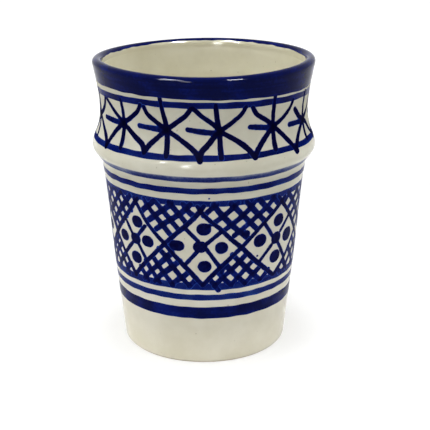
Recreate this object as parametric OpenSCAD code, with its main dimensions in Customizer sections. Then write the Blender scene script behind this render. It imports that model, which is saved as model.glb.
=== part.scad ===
// Handleless mug in glazed earthenware, painted in cobalt blue.
// The clay is turned on a wheel, coated in white glaze inside and out, and then
// painted with separate brushed bands, stars, diamonds, dots and hatching.
// Millimetres, +Z up, origin at the middle of the foot, on the table.

/* [Body] */
// Height of the ridge's crest above the table
ridge_z = 71.6; // [64:0.2:90]
// Height of the lip above the ridge's crest
rim_rise = 30.4; // [27:0.2:42]
// Outside diameter where the wall meets the table
foot_d = 57.6; // [52:0.2:62]
// Height of the slight swell in the lower wall
belly_z = 30; // [22:0.5:40]
// Outside diameter at that swell
belly_d = 64; // [62:0.2:67]
// Distance of the neck below the ridge's crest
neck_drop = 5.6; // [4:0.2:9]
// Outside diameter at the neck
neck_d = 71; // [68:0.2:73]
// Outside diameter at the ridge's crest
ridge_d = 76.8; // [75:0.2:82]
// Height of the ridge's upper flank above its crest
flank_rise = 5.4; // [4:0.2:8]
// Outside diameter at that flank
flank_d = 73.7; // [72.6:0.1:74.8]
// Height of the waist above the ridge's crest
waist_rise = 12.9; // [10:0.2:16]
// Outside diameter at the waist
waist_d = 71.4; // [69:0.2:72.4]
// Outside diameter at the lip
rim_d = 75.8; // [74:0.2:82]

/* [Wall] */
// Thickness of the rounded lip
lip_t = 2.9; // [2.4:0.1:3.6]
// Thickness of the wall at the waist
waist_wall = 2.4; // [2:0.1:3]
// Thickness of the wall where it runs into the floor
lower_wall = 4.2; // [3:0.1:6]
// Thickness of the floor above the table
floor_t = 6.5; // [4:0.1:10]
// Radius between the inside wall and the floor
floor_round = 12; // [6:0.5:16]
// Width of the ring that the mug stands on
foot_ring_w = 5; // [3:0.1:8]
// Depth of the hollow inside that ring
foot_recess = 1.5; // [0.8:0.1:2.5]
// Radius of the foot's outer edge
foot_round = 0.6; // [0.6:0.1:1.5]

/* [Coats] */
// Thickness of the white glaze
glaze_t = 0.4; // [0.3:0.05:0.6]
// Thickness of the blue paint over the glaze
paint_t = 0.2; // [0.15:0.05:0.3]
// Height of the bare clay below the outside glaze
bare_foot_h = 0.8; // [0.6:0.1:4]

/* [Painted bands] */
// Width of each thin line
line_w = 2; // [1.2:0.1:2.6]
// Depth of the blue band outside the lip
rim_band_h = 8.1; // [5:0.1:10]
// White gap between the lip's band and the star frieze
rim_gap = 0.9; // [0.5:0.1:2]
// White gap between the star frieze and the ridge's crest
ridge_gap = 2.7; // [1:0.1:4]
// White gap between the ridge's crest and the neck's upper line
crest_gap = 2.7; // [1:0.1:4]
// White gap between the two lines at the neck
neck_gap = 2.1; // [1:0.1:3]
// White gap above the lattice
lattice_gap = 2.3; // [1:0.1:4]
// White gap below the lattice
base_line_gap = 1.9; // [1:0.1:4]
// White gap between the base's line and its broad band
base_gap = 2.9; // [1:0.1:4]
// Width of the broad band at the base
base_band_w = 4.2; // [2:0.1:6]
// Height of the plain white wall below that band
foot_plain = 17.5; // [12:0.5:20]

/* [Star frieze] */
// Number of stars round the mug
star_count = 13; // [10:1:16]
// Width of the stars' strokes
star_stroke = 1.7; // [0.8:0.1:1.8]
// Length of the stub to the left of each star's middle
stub_len = 9.7; // [5:0.1:9.8]
// Sag of the curved strokes
star_bow = 0.7; // [0:0.1:1.2]
// Gap between the strokes of neighbouring stars
star_gap = 0.4; // [0.2:0.1:1]
// Turn of the first star to the right of the front
star_turn = 8.3; // [0:0.1:27]

/* [Lattice] */
// Number of diamonds round the mug
diamond_count = 8; // [6:1:10]
// Width of the diamonds' strokes
frame_stroke = 1.7; // [0.8:0.1:1.8]
// Gap between the corners of neighbouring diamonds
corner_gap = 0.4; // [0.2:0.1:1]
// Diameter of the dot in each quarter of a diamond
dot_d = 4.4; // [2:0.1:4.4]
// Width of the blot where a diamond's strokes cross
blot_w = 4.2; // [2.4:0.1:5]
// Number of hatch lines each way in a triangle
hatch_lines = 4; // [2:1:5]
// Width of the hatch lines
hatch_stroke = 1.8; // [0.6:0.1:1.8]
// Gap between the hatching and the diamonds
panel_gap = 0.5; // [0.4:0.1:1]

/* [Hidden] */
$fn = 128;

// Colours of the fired clay, the glaze and the blue, and of the blue where it is thin
clay_colour = "burlywood";
glaze_colour = "ivory";
blue = "midnightblue";
thin_blue = "darkblue";

// Heights and outside radii at the wall's turning points
cup_h = ridge_z + rim_rise;
neck_z = ridge_z - neck_drop;
flank_z = ridge_z + flank_rise;
waist_z = ridge_z + waist_rise;
foot_r = foot_d / 2;
belly_r = belly_d / 2;
neck_r = neck_d / 2;
ridge_r = ridge_d / 2;
flank_r = flank_d / 2;
waist_r = waist_d / 2;
rim_r = rim_d / 2;

// Lean of the wall at those points, as radius gained per height gained.
// Next to a hollow or a crest it is a known share of the mean lean there.
end_share = 1.6;
rim_share = 1.35;
foot_lean = (belly_r - foot_r) / belly_z;
belly_lean = (neck_r - foot_r) / neck_z;
neck_lean = end_share * belly_lean;
flank_lean = end_share * (waist_r - ridge_r) / waist_rise;
rim_lean = rim_share * (rim_r - waist_r) / (rim_rise - waist_rise);

// The lip is half a circle in section, which the walls run into on both sides.
// The paint over the lip lies on the glaze, and its top is the mug's full height.
lip_r = lip_t / 2;
lip_c = [rim_r - lip_r, cup_h - paint_t - lip_r];
outer_angle = -atan(rim_lean);
arc_steps = 10;
// Least height between two neighbouring points of a line up the wall
least_step = 0.05;
// Half of the turn that one painted figure may take up round the mug
figure_half_turn = 40;

function on_arc(c, r, a) = c + r * [cos(a), sin(a)];
function arc(c, r, a0, a1) =
    [for (k = [0 : arc_steps]) on_arc(c, r, a0 + (a1 - a0) * k / arc_steps)];
function reverse(list) = [for (i = [len(list) - 1 : -1 : 0]) list[i]];
function without_first(list) = [for (i = [1 : len(list) - 1]) list[i]];
function without_last(list) = [for (i = [0 : len(list) - 2]) list[i]];

// A key is height, radius, lean and the number of steps up to the next key.
// The wall between two keys is a cubic that has their radii and leans.
function cubic(a, b, z) =
    let (h = b[0] - a[0], t = (z - a[0]) / h, u = 1 - t)
    a[1] * (1 + 2 * t) * u * u + b[1] * (3 - 2 * t) * t * t
    + h * t * u * (a[2] * u - b[2] * t);
function span(a, b) =
    [for (k = [0 : a[3] - 1])
        let (z = a[0] + (b[0] - a[0]) * k / a[3])
        [z, cubic(a, b, z)]];
function curve(keys) =
    concat([for (i = [0 : len(keys) - 2]) each span(keys[i], keys[i + 1])],
           [[keys[len(keys) - 1][0], keys[len(keys) - 1][1]]]);

// Outside of the glaze, from the table up to the lip, as height and radius
outer_lip = on_arc(lip_c, lip_r, outer_angle);
outline = curve([
    [0, foot_r, foot_lean, 4],
    [belly_z, belly_r, belly_lean, 5],
    [neck_z, neck_r, neck_lean, 8],
    [ridge_z, ridge_r, 0, 6],
    [flank_z, flank_r, flank_lean, 3],
    [waist_z, waist_r, 0, 5],
    [outer_lip[1], outer_lip[0], rim_lean]]);
function glaze_r(z) = lookup(z, outline);

// Inside of the glaze, from the round of the floor up to the lip.
// The wall is nowhere thinner than at the waist.
round_z = floor_t + floor_round;
waist_in_r = waist_r - waist_wall;
inside_lean = (waist_in_r - glaze_r(round_z) + lower_wall) / (waist_z - round_z);
lean_angle = atan(inside_lean);
corner_z = round_z - floor_round * sin(lean_angle);
corner_r = glaze_r(corner_z) - lower_wall;
floor_c = [corner_r - floor_round * cos(lean_angle), round_z];
inner_angle = 180 - lean_angle;
inner_lip = on_arc(lip_c, lip_r, inner_angle);
inner_line = [for (p = curve([
    [corner_z, corner_r, inside_lean, 8],
    [waist_z, waist_in_r, inside_lean, 4],
    [inner_lip[1], inner_lip[0], inside_lean]]))
    [p[0], min(p[1], glaze_r(p[0]) - waist_wall)]];

// Points up the outside from height z0 to the top of the lip, lifted off the glaze
function rise(z0, lift) =
    concat([for (z = concat([z0], [for (p = without_last(outline)) if (p[0] > z0 + least_step) p[0]]))
               [glaze_r(z) + lift, z]],
           arc(lip_c, lip_r + lift, outer_angle, 90));
// Points from the top of the lip to the start of the inside wall
function inner_half_lip(lift) = arc(lip_c, lip_r + lift, 90, inner_angle);
// Points from the top of the lip down the inside to the middle of the floor
function descent(lift) =
    concat(inner_half_lip(lift),
           [for (p = reverse(without_first(without_last(inner_line)))) [p[1] - lift, p[0]]],
           arc(floor_c, floor_round - lift, -lean_angle, -90),
           [[0, floor_t + lift]]);

// A coat is the strip between two lines of points.
module coat(under, over) {
    rotate_extrude()
        polygon(concat(over, reverse(under)));
}

// The foot's round edge ends below the glaze.
module clay_body() {
    edge_round = min(foot_round, bare_foot_h - least_step);
    edge_r = glaze_r(edge_round) - glaze_t;
    ring_r = edge_r - foot_ring_w;
    underside = [[0, foot_recess], [ring_r - foot_recess, foot_recess], [ring_r, 0]];
    foot_edge = arc([edge_r - edge_round, edge_round], edge_round, -90, 0);
    color(clay_colour)
        rotate_extrude()
            polygon(concat(underside, foot_edge, rise(bare_foot_h, -glaze_t),
                           without_first(descent(-glaze_t))));
}

module inside_glaze() {
    color(glaze_colour)
        coat(descent(-glaze_t), descent(0));
}

module outside_glaze() {
    color(glaze_colour)
        coat(rise(bare_foot_h, -glaze_t), rise(bare_foot_h, 0));
}

// Paint on the glaze between two heights
function film_side(z0, z1, lift) =
    let (between = [for (p = outline) if (p[0] > z0 + least_step && p[0] < z1 - least_step) p[0]])
    [for (z = concat([z0], between, [z1])) [glaze_r(z) + lift, z]];
function film(z0, z1) = concat(film_side(z0, z1, paint_t), reverse(film_side(z0, z1, 0)));

module line_round(z0, width) {
    rotate_extrude()
        polygon(film(z0, z0 + width));
}

// Paint in the shape of a flat figure held against the wall at an angle round the mug.
// The figure's x runs to the right along the wall, and its y is height.
module painted(angle, z0, z1) {
    rotate([0, 0, angle])
        intersection() {
            rotate([0, 0, -90 - figure_half_turn])
                rotate_extrude(angle = 2 * figure_half_turn)
                    polygon(film(z0, z1));
            rotate([90, 0, 0])
                linear_extrude(height = 2 * ridge_r)
                    children();
        }
}

// Bands from the lip down to the neck
rim_band_z = cup_h - rim_band_h;
frieze_top_z = rim_band_z - rim_gap - line_w;
frieze_bottom_z = ridge_z + ridge_gap;
neck_upper_z = ridge_z - crest_gap - line_w;
neck_lower_z = neck_upper_z - neck_gap - line_w;
lattice_top_z = neck_lower_z - lattice_gap - line_w;

// Bands from the table up to the lattice
base_line_z = foot_plain + base_band_w + base_gap;
lattice_bottom_z = base_line_z + line_w + base_line_gap;

// The rim's paint wraps over the lip, and ends where the inside wall begins.
module rim_band() {
    color(blue)
        coat(concat(rise(rim_band_z, 0), without_first(inner_half_lip(0))),
             concat(rise(rim_band_z, paint_t), without_first(inner_half_lip(paint_t))));
}

module frieze_top_line() {
    color(blue)
        line_round(frieze_top_z, line_w);
}

module frieze_bottom_line() {
    color(blue)
        line_round(frieze_bottom_z, line_w);
}

// A brush stroke from a to b that sags to one side by bow
module stroke(a, b, bow, width) {
    steps = 4;
    along = b - a;
    side = [-along[1], along[0]] / norm(along);
    middle = [for (k = [0 : steps]) let (t = k / steps) a + along * t + side * 4 * bow * t * (1 - t)];
    polygon(concat([for (p = middle) p + side * width / 2],
                   reverse([for (p = middle) p - side * width / 2])));
}

// Each star is two slanting strokes, an upright and a stub to the left of the middle.
// They fill the height between the frieze's two lines.
module frieze_stars() {
    z0 = frieze_bottom_z + line_w;
    z1 = frieze_top_z;
    middle = (z0 + z1) / 2;
    reach = glaze_r(middle) * sin(180 / star_count) - star_stroke - star_gap / 2;
    color(blue)
        for (i = [0 : star_count - 1])
            painted(star_turn + 360 / star_count * i, z0, z1) {
                stroke([-reach, z1], [reach, z0], -star_bow, star_stroke);
                stroke([reach, z1], [-reach, z0], -star_bow, star_stroke);
                stroke([0, z0], [0, z1], 0, star_stroke);
                stroke([-stub_len, middle], [0, middle], 0, star_stroke);
                translate([-stub_len, middle])
                    circle(d = star_stroke);
            }
}

module neck_line_upper() {
    color(blue)
        line_round(neck_upper_z, line_w);
}

module neck_line_lower() {
    color(blue)
        line_round(neck_lower_z, line_w);
}

module lattice_top_line() {
    color(thin_blue)
        line_round(lattice_top_z, line_w);
}

module lattice_bottom_line() {
    color(thin_blue)
        line_round(lattice_bottom_z, line_w);
}

// The lattice is a row of diamonds that stand corner to corner between the two lines.
lattice_z0 = lattice_bottom_z + line_w;
lattice_z1 = lattice_top_z;
lattice_mid = (lattice_z0 + lattice_z1) / 2;
diamond_turn = 360 / diamond_count;
diamond_hw = glaze_r(lattice_mid) * sin(diamond_turn / 2) - corner_gap / 2;
diamond_hh = (lattice_z1 - lattice_z0) / 2;
// Distance between opposite sides of a diamond
diamond_across = 2 * diamond_hw * diamond_hh / norm([diamond_hw, diamond_hh]);

// A point in a diamond, by its share of the way along each slanting side
function in_diamond(a, b) =
    [diamond_hw * (a + b) / 2, lattice_mid + diamond_hh * (a - b) / 2];

// The outline and the cross of each diamond leave four white quarters.
// The corners of the quarters at the cross are cut off, which leaves the blot there.
module diamond_frames() {
    edge = 2 * frame_stroke / diamond_across;
    half = edge / 2;
    blot = max(half, blot_w / diamond_across);
    rim = [in_diamond(1, 1), in_diamond(1, -1), in_diamond(-1, -1), in_diamond(-1, 1)];
    quarter = [[half, blot], [half, 1 - edge], [1 - edge, 1 - edge], [1 - edge, half], [blot, half]];
    signs = [[1, 1], [1, -1], [-1, -1], [-1, 1]];
    holes = [for (s = signs) each [for (q = quarter) in_diamond(s[0] * q[0], s[1] * q[1])]];
    n = len(quarter);
    paths = concat([[0, 1, 2, 3]],
                   [for (i = [0 : 3]) [for (k = [0 : n - 1]) 4 + i * n + k]]);
    color(blue)
        for (i = [0 : diamond_count - 1])
            painted(diamond_turn * i, lattice_z0, lattice_z1)
                polygon(concat(rim, holes), paths);
}

// One dot in the middle of each quarter
module diamond_dots() {
    aside = asin(diamond_hw / 2 / glaze_r(lattice_mid));
    places = [[-aside, 0], [aside, 0], [0, diamond_hh / 2], [0, -diamond_hh / 2]];
    color(blue)
        for (i = [0 : diamond_count - 1], p = places) {
            z = lattice_mid + p[1];
            painted(diamond_turn * i + p[0], z - dot_d, z + dot_d)
                translate([0, z])
                    circle(d = dot_d);
        }
}

// The triangles between the diamonds are cross-hatched, which leaves rows of white squares.
module hatch_panel(up) {
    border_z = up > 0 ? lattice_z1 : lattice_z0;
    width = glaze_r(border_z) * sin(diamond_turn / 2);
    height = border_z - lattice_mid;
    across = 2 * width * abs(height) / norm([width, height]);
    inset = panel_gap / across;
    size = 1 - 2 * inset;
    pitch = size / (hatch_lines + 1);
    half = hatch_stroke / 2 / across;
    function at(a, b) = [width * (a - b), lattice_mid + height * (a + b)];
    triangle = [at(inset, inset), at(inset + size, inset), at(inset, inset + size)];
    squares = [for (i = [0 : hatch_lines], j = [0 : hatch_lines])
        let (a0 = inset + pitch * i + half, a1 = inset + pitch * (i + 1) - half)
        let (b0 = inset + pitch * j + half, b1 = inset + pitch * (j + 1) - half)
        let (top = 1 - half)
        if (i + j <= hatch_lines)
            i + j < hatch_lines ? [at(a0, b0), at(a1, b0), at(a1, b1), at(a0, b1)]
                                : [at(a0, b0), at(top - b0, b0), at(a0, top - a0)]];
    difference() {
        polygon(triangle);
        for (s = squares)
            polygon(s);
    }
}

module lattice_hatching() {
    color(blue)
        for (i = [0 : diamond_count - 1], up = [-1, 1])
            painted(diamond_turn * (i + 0.5), lattice_z0, lattice_z1)
                hatch_panel(up);
}

module base_line() {
    color(blue)
        line_round(base_line_z, line_w);
}

module base_band() {
    color(blue)
        line_round(foot_plain, base_band_w);
}

clay_body();
inside_glaze();
outside_glaze();
rim_band();
frieze_top_line();
frieze_bottom_line();
frieze_stars();
neck_line_upper();
neck_line_lower();
lattice_top_line();
lattice_bottom_line();
diamond_frames();
diamond_dots();
lattice_hatching();
base_line();
base_band();
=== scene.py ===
# Handleless mug in earthenware, glazed white and painted by hand in cobalt blue.
# Heights and widths are in millimetres. Turns are in degrees, to the right of the front.
import math

import bmesh
import bpy
import numpy as np
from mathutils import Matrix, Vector


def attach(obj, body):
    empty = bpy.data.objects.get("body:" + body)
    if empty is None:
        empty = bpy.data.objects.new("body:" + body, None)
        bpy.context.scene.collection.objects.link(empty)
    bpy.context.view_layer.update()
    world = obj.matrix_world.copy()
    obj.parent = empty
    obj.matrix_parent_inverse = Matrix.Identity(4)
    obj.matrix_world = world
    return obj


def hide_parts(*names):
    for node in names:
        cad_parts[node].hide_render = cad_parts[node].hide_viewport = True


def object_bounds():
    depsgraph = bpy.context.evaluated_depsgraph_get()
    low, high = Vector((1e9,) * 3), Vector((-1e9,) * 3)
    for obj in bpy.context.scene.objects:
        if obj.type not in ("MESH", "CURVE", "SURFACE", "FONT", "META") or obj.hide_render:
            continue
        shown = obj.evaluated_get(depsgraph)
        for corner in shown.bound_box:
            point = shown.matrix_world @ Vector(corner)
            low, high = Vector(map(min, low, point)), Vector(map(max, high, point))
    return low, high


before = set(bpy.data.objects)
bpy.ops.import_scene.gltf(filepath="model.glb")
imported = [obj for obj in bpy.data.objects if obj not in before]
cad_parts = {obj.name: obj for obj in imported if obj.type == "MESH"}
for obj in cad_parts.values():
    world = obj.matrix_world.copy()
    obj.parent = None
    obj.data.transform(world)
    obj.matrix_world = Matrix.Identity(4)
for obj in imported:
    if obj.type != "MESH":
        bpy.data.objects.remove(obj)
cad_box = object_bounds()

# Clay body
# One shell of buff earthenware, thrown on a wheel: floor, tapering wall, neck, ridge, waist and round lip.
# The foot is trimmed on the wheel and left bare underneath, so that only its ring meets the table.
MM = 0.001
GLAZE_T = 0.4
SECTION_STEP = 0.35
SAME_RING = 0.05
cup_h = cad_box[1][2] / MM


def corners(node):
    """Distance from the axis and height of each ring of corners of a turned CAD node."""
    at = np.array([v.co[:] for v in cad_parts[node].data.vertices]) / MM
    rings = np.column_stack((np.hypot(at[:, 0], at[:, 1]), at[:, 2]))
    return np.unique(np.round(rings, 2), axis=0)


def free_face(coat):
    """The rings of a glaze coat that lie off the clay."""
    rings = corners(coat)
    apart = np.linalg.norm(rings[:, None] - corners("clay_body"), axis=2).min(axis=1)
    return rings[apart > GLAZE_T / 4]


def lengths(line):
    """Length along a line of points, at each point."""
    return np.append(0, np.cumsum(np.linalg.norm(np.diff(line, axis=0), axis=1)))


def smooth_line(points, step):
    """A smooth line through points, with a new point about every step."""
    length = lengths(points)
    slope = np.gradient(points, length, axis=0)
    at = np.linspace(0, length[-1], round(length[-1] / step) + 1)
    i = np.clip(np.searchsorted(length, at, side="right") - 1, 0, len(length) - 2)
    gap = (length[i + 1] - length[i])[:, None]
    t = (at - length[i])[:, None] / gap
    u = 1 - t
    bend = gap * t * u * (slope[i] * u - slope[i + 1] * t)
    return points[i] * (1 + 2 * t) * u * u + points[i + 1] * (3 - 2 * t) * t * t + bend


# The wall's section runs from the table up the outside, over the lip and down the inside to the axis.
outside = free_face("outside_glaze")
outside = outside[np.argsort(outside[:, 1])]
inside = free_face("inside_glaze")
inside = inside[np.lexsort((-inside[:, 0], -inside[:, 1]))]
foot = outside[0] - (outside[1] - outside[0]) * outside[0, 1] / (outside[1, 1] - outside[0, 1])
turning = np.vstack((foot, outside, inside, [0, inside[-1, 1]]))
turning = turning[np.append(True, np.linalg.norm(np.diff(turning, axis=0), axis=1) > SAME_RING)]
wall = smooth_line(turning, SECTION_STEP)
wall_along = lengths(wall)
wall_slope = np.gradient(wall, wall_along, axis=0)
wall_out = np.column_stack((wall_slope[:, 1], -wall_slope[:, 0]))
lip_row = int(np.argmax(wall[:, 1]))
lip_along = wall_along[lip_row]

# The lip is a little fuller just inside its top than the turned solid, and so is the ridge at its crest.
LIP_SWELL = 0.4
LIP_SWELL_AT = 2.3
LIP_SWELL_RISE = 2.2
LIP_SWELL_FADE = 10
RIDGE_SWELL = 0.2
RIDGE_SWELL_Z = 72.3
RIDGE_SWELL_REACH = 3
past_swell = wall_along - lip_along - LIP_SWELL_AT
reach = np.where(past_swell > 0, LIP_SWELL_FADE, LIP_SWELL_RISE)
lip_swell = LIP_SWELL * np.exp(-(past_swell / reach) ** 2)
ridge_swell = RIDGE_SWELL * np.exp(-((wall[:, 1] - RIDGE_SWELL_Z) / RIDGE_SWELL_REACH) ** 2)
ridge_swell = ridge_swell * (wall_along < lip_along)
wall = wall + wall_out * (lip_swell + ridge_swell)[:, None]

# Waves of the wall round the mug (how many, how deep, where they start), and rings left by the fingers
SWAY = ((2, 0.12, 0.7), (3, 0.06, -1.2))
FINGER_DEPTH = 0.01
FINGER_PITCH = 3.3
STEADY_R = 8
# The lip lies this much lower than the solid's, with waves round it by cosine and sine, near the top alone.
LIP_DROP = 0.61
LIP_WAVES = ((1, -0.12, 0.26), (2, -0.2, -0.1), (3, -0.18, 0))
LIP_POWER = 16


def stand(turn, radius, height):
    """Points in metres, with the unevenness of a thrown pot: out of round, ringed, not quite level."""
    a = np.radians(turn)
    sway = sum(depth * np.sin(waves * a + start) for waves, depth, start in SWAY) * height / cup_h
    finger = FINGER_DEPTH * np.sin(2 * np.pi * height / FINGER_PITCH + a)
    radius = radius + (sway + finger) * np.minimum(1, radius / STEADY_R)
    lip = sum(c * np.cos(waves * a) + s * np.sin(waves * a) for waves, c, s in LIP_WAVES) - LIP_DROP
    height = height + lip * (height / cup_h) ** LIP_POWER
    return np.stack(np.broadcast_arrays(radius * np.sin(a), -radius * np.cos(a), height), axis=-1) * MM


COLUMNS = 288
# Rows of the mesh for each mm of the section and each degree that it turns, in view and out of view
SHOWN_ROWS = (1, 0.5)
HIDDEN_ROWS = (0.6, 0.2)
SHARP_EDGE = 50


def spread_rows(along, per_mm, per_degree):
    """Rows of a section to keep, with so many for each mm of its length and each degree that it turns."""
    slope = [np.interp(along, wall_along, wall_slope[:, k]) for k in (1, 0)]
    turned = np.degrees(np.abs(np.diff(np.unwrap(np.arctan2(*slope)))))
    need = np.append(0, np.cumsum(per_mm * np.abs(np.diff(along)) + per_degree * turned))
    return np.append(np.searchsorted(need, np.arange(0, need[-1] - 0.5)), len(along) - 1)


def round_faces(rows, columns, closed):
    """Faces of a section of so many points that is carried right round the mug."""
    index = np.arange(rows * columns).reshape(rows, columns)
    if closed:
        index = np.vstack((index, index[:1]))
    right = np.roll(index, -1, axis=1)
    return np.stack((index[:-1], right[:-1], right[1:], index[1:]), axis=-1).reshape(-1, 4).tolist()


def make_piece(name, points, faces, material, node):
    """A smooth mesh that stands for a CAD node and moves with the mug."""
    mesh = bpy.data.meshes.new(name)
    mesh.from_pydata(points.reshape(-1, 3).tolist(), [], faces)
    mesh.materials.append(material)
    mesh.shade_smooth()
    mesh.set_sharp_from_angle(angle=math.radians(SHARP_EDGE))
    piece = bpy.data.objects.new(name, mesh)
    bpy.context.scene.collection.objects.link(piece)
    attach(piece, "root")
    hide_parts(node)
    return piece


def close_poles(piece):
    """Draws the points that lie on the axis together into one."""
    mesh = bmesh.new()
    mesh.from_mesh(piece.data)
    bmesh.ops.remove_doubles(mesh, verts=mesh.verts, dist=0.001 * MM)
    mesh.to_mesh(piece.data)
    mesh.free()


def linear(colour):
    """Linear RGBA of an sRGB hex colour."""
    channels = [int(colour[i:i + 2], 16) / 255 for i in (1, 3, 5)]
    return [c / 12.92 if c <= 0.04045 else ((c + 0.055) / 1.055) ** 2.4 for c in channels] + [1]


def per(size):
    """Texture scale at which a pattern's features are about size mm."""
    return 1 / (size * MM)


def add(tree, kind, sockets, stops=(), **settings):
    """Adds a node with its settings. A socket's value is a constant, or the socket that it is linked from.
    Stops are the positions and the colours of a colour ramp."""
    node = tree.nodes.new(kind)
    for name, value in settings.items():
        setattr(node, name, value)
    for name, value in sockets.items():
        if isinstance(value, bpy.types.NodeSocket):
            tree.links.new(value, node.inputs[name])
        else:
            node.inputs[name].default_value = value
    for _ in stops[2:]:
        node.color_ramp.elements.new(1)
    for k, (position, colour) in enumerate(stops):
        node.color_ramp.elements[k].position = position
        node.color_ramp.elements[k].color = linear(colour)
    return node


def new_material(name):
    """A material with no nodes yet."""
    material = bpy.data.materials.new(name)
    material.use_nodes = True
    material.node_tree.nodes.clear()
    return material


# Fired earthenware, wiped bare: a dull buff with darker grains of grog, faint flame marks and a fine tooth.
clay = new_material("fired_earthenware")
tree = clay.node_tree
spot = add(tree, "ShaderNodeTexCoord", {}).outputs["Object"]
flame = add(tree, "ShaderNodeTexNoise", {"Vector": spot, "Scale": per(16), "Detail": 4.0})
grog = add(tree, "ShaderNodeTexNoise", {"Vector": spot, "Scale": per(0.7), "Detail": 2.0})
buff = add(tree, "ShaderNodeValToRGB", {"Fac": flame.outputs["Fac"]}, ((0.3, "#B99B74"), (0.7, "#CBB18A")))
grain = add(tree, "ShaderNodeValToRGB", {"Fac": grog.outputs["Fac"]}, ((0.62, "#FFFFFF"), (0.72, "#A98A66")))
base = add(tree, "ShaderNodeMix", {0: 0.6, 6: buff.outputs["Color"], 7: grain.outputs["Color"]},
           data_type="RGBA", blend_type="MULTIPLY")
tooth = add(tree, "ShaderNodeBump", {"Height": grog.outputs["Fac"], "Strength": 0.5, "Distance": 0.1 * MM})
shader = add(tree, "ShaderNodeBsdfPrincipled", {
    "Base Color": base.outputs[2], "Normal": tooth.outputs["Normal"], "Roughness": 0.85})
add(tree, "ShaderNodeOutputMaterial", {"Surface": shader.outputs["BSDF"]})

# Under the foot, from the axis out over the hollow, with its trimming rings, to the ring on the table.
FOOT_EDGE = 0.45
ON_TABLE = 0.3
HOLLOW_Z = 1
UNDER_TOP = 2
TRIM_RING = 2.4
TRIM_DEPTH = 0.07
rings = corners("clay_body")
ring_edge = rings[rings[:, 1] < ON_TABLE, 0].max()
under = rings[(rings[:, 1] < UNDER_TOP) & (rings[:, 0] < ring_edge)]
under = np.vstack(([0, under[:, 1].max()], under[np.argsort(under[:, 0])]))
under_along = lengths(under)
at = np.arange(0, under_along[-1], SECTION_STEP)
under = np.column_stack([np.interp(at, under_along, under[:, k]) for k in (0, 1)])
in_hollow = under[:, 1] > HOLLOW_Z
under[:, 1] += TRIM_DEPTH * np.sin(2 * np.pi * under[:, 0] / TRIM_RING) * in_hollow

shell = wall - GLAZE_T * wall_out
shell[-1, 0] = 0
first = np.searchsorted(wall[:lip_row, 1], FOOT_EDGE)
section = np.vstack((under, shell[first:][spread_rows(wall_along[first:], *HIDDEN_ROWS)]))
turns = np.arange(COLUMNS) * 360 / COLUMNS
points = stand(turns[None], section[:, :1], section[:, 1:])
faces = round_faces(len(section), COLUMNS, False)
clay_body = make_piece("thrown_clay", points, faces, clay, "clay_body")
close_poles(clay_body)

# White glaze, inside and outside
# An opaque tin-white glass coat: poured in and swilled round inside, dipped outside, and fired to a gloss.
# It runs in one skin over the lip, and ends in a rolled edge at the foot, which is wiped before firing.


def white_glaze(name, shine, glossy, dull, *stops):
    """Tin-white glaze: a warm cream white whose colour changes with height, with clouds, pinholes
    and a faint orange peel. The pinholes are coarser than real ones, so that they show. Shine is how
    strongly it mirrors. It is glossy as far as the first height and dull past the second. The stops are
    heights and the colours there, and hold painted light and shade: lighter or darker where light or shade
    falls."""
    material = new_material(name)
    tree = material.node_tree
    spot = add(tree, "ShaderNodeTexCoord", {}).outputs["Object"]
    cloud = add(tree, "ShaderNodeTexNoise", {
        "Vector": spot, "Scale": per(15), "Detail": 4.0, "Roughness": 0.6})
    pin = add(tree, "ShaderNodeTexNoise", {"Vector": spot, "Scale": per(1.1), "Detail": 1.0})
    peel = add(tree, "ShaderNodeTexNoise", {"Vector": spot, "Scale": per(2.6), "Detail": 2.0})
    height = add(tree, "ShaderNodeSeparateXYZ", {"Vector": spot}).outputs["Z"]
    level = add(tree, "ShaderNodeMath", {0: height, 1: 1 / (cup_h * MM)}, operation="MULTIPLY")
    # Painted light and shade by height, from the stops
    ivory_light_and_shade = add(tree, "ShaderNodeValToRGB", {"Fac": level.outputs[0]}, [(z / cup_h, c) for z, c in stops])
    patch = add(tree, "ShaderNodeValToRGB", {"Fac": cloud.outputs["Fac"]},
                ((0.35, "#F4F3EE"), (0.65, "#FFFFFF")))
    hole = add(tree, "ShaderNodeValToRGB", {"Fac": pin.outputs["Fac"]},
               ((0.76, "#FFFFFF"), (0.8, "#A0967C")))
    cloudy = add(tree, "ShaderNodeMix", {0: 1.0, 6: ivory_light_and_shade.outputs["Color"], 7: patch.outputs["Color"]},
                 data_type="RGBA", blend_type="MULTIPLY")
    base = add(tree, "ShaderNodeMix", {0: 0.5, 6: cloudy.outputs[2], 7: hole.outputs["Color"]},
               data_type="RGBA", blend_type="MULTIPLY")
    skin = add(tree, "ShaderNodeBump", {
        "Height": peel.outputs["Fac"], "Strength": 0.12, "Distance": 0.1 * MM})
    gloss = add(tree, "ShaderNodeMapRange", {"Value": cloud.outputs["Fac"], "To Min": 0.08, "To Max": 0.14})
    dulling = add(tree, "ShaderNodeMapRange", {
        "Value": height, "From Min": glossy * MM, "From Max": dull * MM, "To Min": 0.0, "To Max": 0.85})
    finish = add(tree, "ShaderNodeMath", {0: gloss.outputs["Result"], 1: dulling.outputs["Result"]},
                 operation="ADD")
    shader = add(tree, "ShaderNodeBsdfPrincipled", {
        "Base Color": base.outputs[2], "Roughness": finish.outputs[0], "Normal": skin.outputs["Normal"],
        "IOR": 1.5, "Specular IOR Level": shine})
    add(tree, "ShaderNodeOutputMaterial", {"Surface": shader.outputs["BSDF"]})
    return material


inside_white = white_glaze("tin_glaze_inside", 0.2, 98.6, 97.2, (0, "#DFDBC0"), (102, "#D8D4BD"))
# The outside's colours by height are painted light and shade: lighter towards the foot for light thrown up by
# the table, darker in the neck under the ridge and towards the lip, lighter on the ridge's crest.
outside_white = white_glaze(
    "tin_glaze_outside", 0.1, 74.6, 76, (3, "#EBE6D4"), (14, "#D8D4C4"), (26, "#D9D6C9"), (60, "#D2D0C2"),
    (65.5, "#C8C6B7"), (71, "#DCDACB"), (80, "#CECCBD"), (92, "#C6C4B5"))


def along_at(height):
    """Length up the outside of the wall at a height."""
    return np.interp(height, wall[:lip_row, 1], wall_along[:lip_row])


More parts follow.
